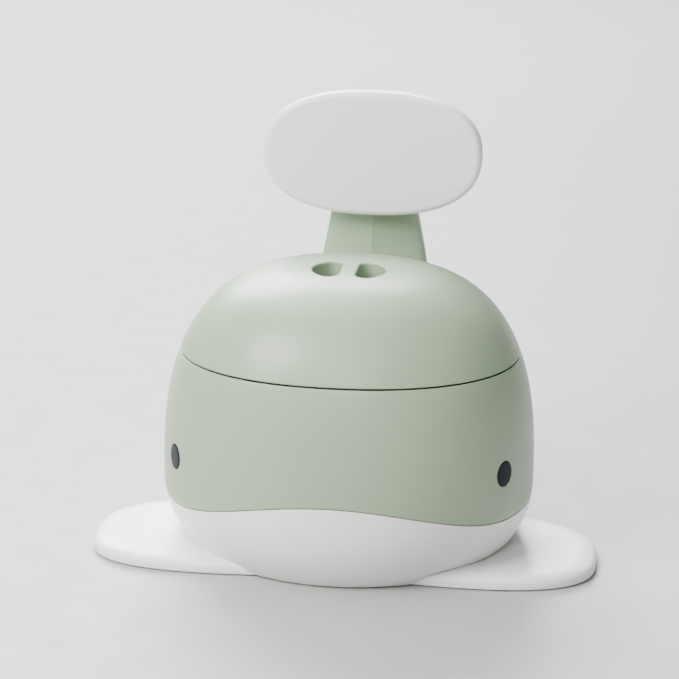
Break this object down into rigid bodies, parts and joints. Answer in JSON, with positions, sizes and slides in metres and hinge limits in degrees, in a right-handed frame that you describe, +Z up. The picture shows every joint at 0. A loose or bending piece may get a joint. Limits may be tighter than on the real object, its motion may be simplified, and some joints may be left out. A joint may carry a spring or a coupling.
{
  "type": "potty training chair",
  "caption": "Whale-shaped child's potty chair: round body with lift-off dome lid, seat ring, removable pot, flat side fins and an oval backrest on a tail stem.",
  "frame": {"origin": "on the floor, under the middle of the chair's bounding box", "axes": "+Z up, -Y towards the whale's face and the sitting child's knees, +Y towards the backrest, +X along the fin span"},
  "size_m": [0.3912, 0.3064, 0.3359],
  "materials": {
    "sage_plastic": "satin moulded polypropylene, sage green, very fine spark texture",
    "white_plastic": "satin moulded polypropylene, warm white",
    "slate_plastic": "satin moulded plastic, dark slate",
    "rubber_grey": "matt soft rubber",
    "steel": "plain zinc-plated steel"
  },
  "bodies": {
    "base": {"backrest_front": "white_plastic", "backrest_rear": "white_plastic", "backrest_screw_1": "steel", "backrest_screw_2": "steel", "backrest_screw_3": "steel", "backrest_screw_4": "steel", "base_plate": "white_plastic", "base_screw_1": "steel", "base_screw_2": "steel", "base_screw_3": "steel", "base_screw_4": "steel", "base_screw_5": "steel", "base_screw_6": "steel", "belly_shell": "white_plastic", "body_shell": "sage_plastic", "eye_left": "slate_plastic", "eye_right": "slate_plastic", "rubber_foot_1": "rubber_grey", "rubber_foot_2": "rubber_grey", "rubber_foot_3": "rubber_grey", "rubber_foot_4": "rubber_grey", "rubber_foot_5": "rubber_grey", "rubber_foot_6": "rubber_grey", "tail_left": "sage_plastic", "tail_right": "sage_plastic", "tail_screw_1": "steel", "tail_screw_2": "steel", "tail_screw_3": "steel", "tail_screw_4": "steel"},
    "pot": {"inner_pot": "white_plastic"},
    "seat": {"seat_pad_1": "rubber_grey", "seat_pad_2": "rubber_grey", "seat_pad_3": "rubber_grey", "seat_pad_4": "rubber_grey", "seat_ring": "white_plastic", "splash_guard": "white_plastic"},
    "lid": {"lid_dome": "sage_plastic", "lid_pad_1": "rubber_grey", "lid_pad_2": "rubber_grey", "lid_pad_3": "rubber_grey", "lid_pad_4": "rubber_grey"}
  },
  "joints": [
    {"name": "pot_lift", "type": "slide", "parent": "base", "child": "pot", "axis": [0, 0, 1], "range_m": [0, 0.16]},
    {"name": "seat_lift", "type": "slide", "parent": "pot", "child": "seat", "axis": [0, 0, 1], "range_m": [0, 0.12]},
    {"name": "lid_lift", "type": "slide", "parent": "seat", "child": "lid", "axis": [0, 0, 1], "range_m": [0, 0.14]}
  ]
}
